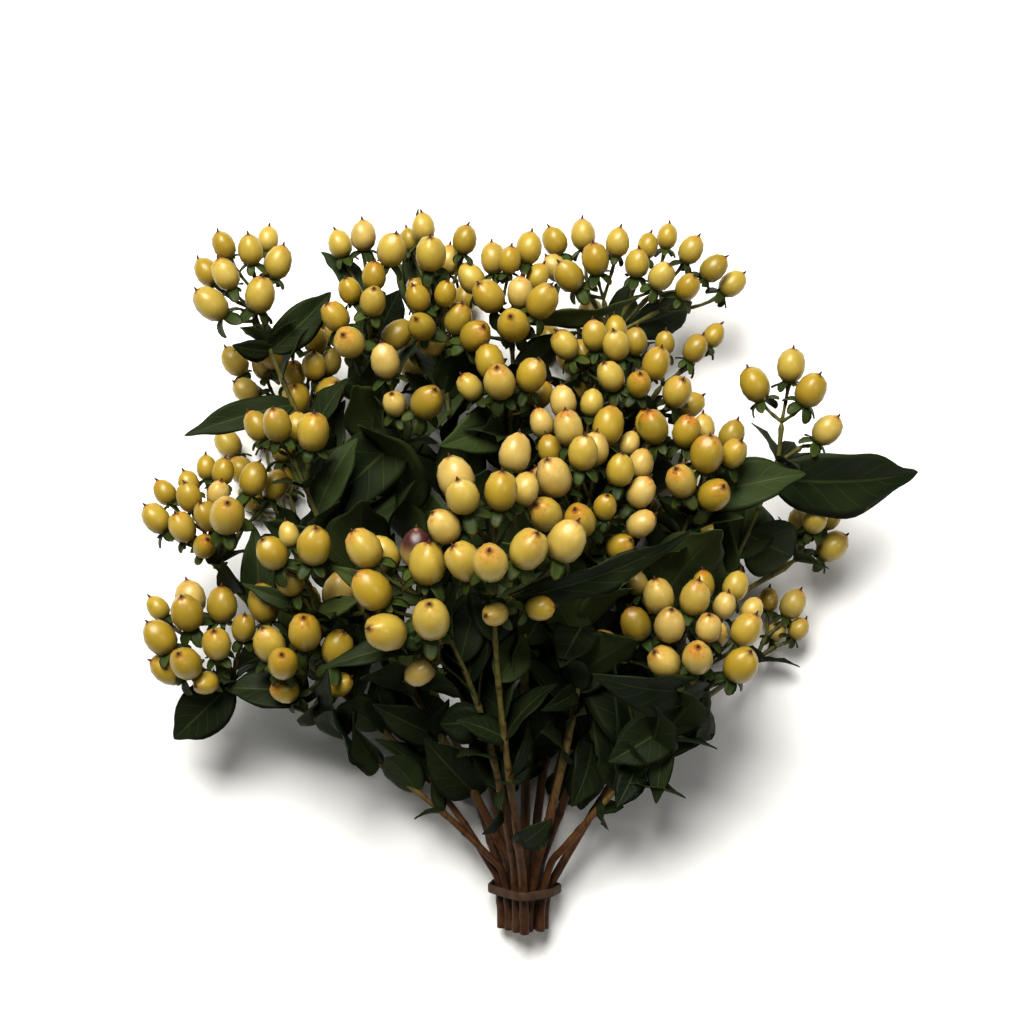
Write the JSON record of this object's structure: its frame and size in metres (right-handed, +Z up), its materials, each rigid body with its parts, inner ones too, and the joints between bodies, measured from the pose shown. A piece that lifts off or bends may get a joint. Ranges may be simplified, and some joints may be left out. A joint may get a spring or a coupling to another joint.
{
  "type": "bunch of hypericum berry stems",
  "caption": "Short hand-tied bunch of forked berry stems lying down: cut ends in a rubber band, leafy fanned stems, and a wide crown of oval berries with dry tips.",
  "frame": {"origin": "on the surface that the bunch lies on, under the middle of its bounding box", "axes": "+Y from the cut ends towards the crown, +Z up from the surface, +X to the right as seen from above with the crown away from the eye"},
  "size_m": [0.2708, 0.258, 0.1317],
  "materials": {
    "plant": "satin",
    "band": "matte"
  },
  "bodies": {
    "root": {"stem_01_top_left": "plant", "stem_02_left_row": "plant", "stem_03_upper_left": "plant", "stem_04_top": "plant", "stem_05_top_centre": "plant", "stem_06_top_right": "plant", "stem_07_right_crown": "plant", "stem_08_right_row": "plant", "stem_09_centre": "plant", "stem_10_front_row": "plant", "stem_11_front_left": "plant", "stem_12_left": "plant", "stem_13_lower_left": "plant", "stem_14_lower_right": "plant", "stem_15_far_right": "plant", "rubber_band": "band"}
  },
  "joints": []
}
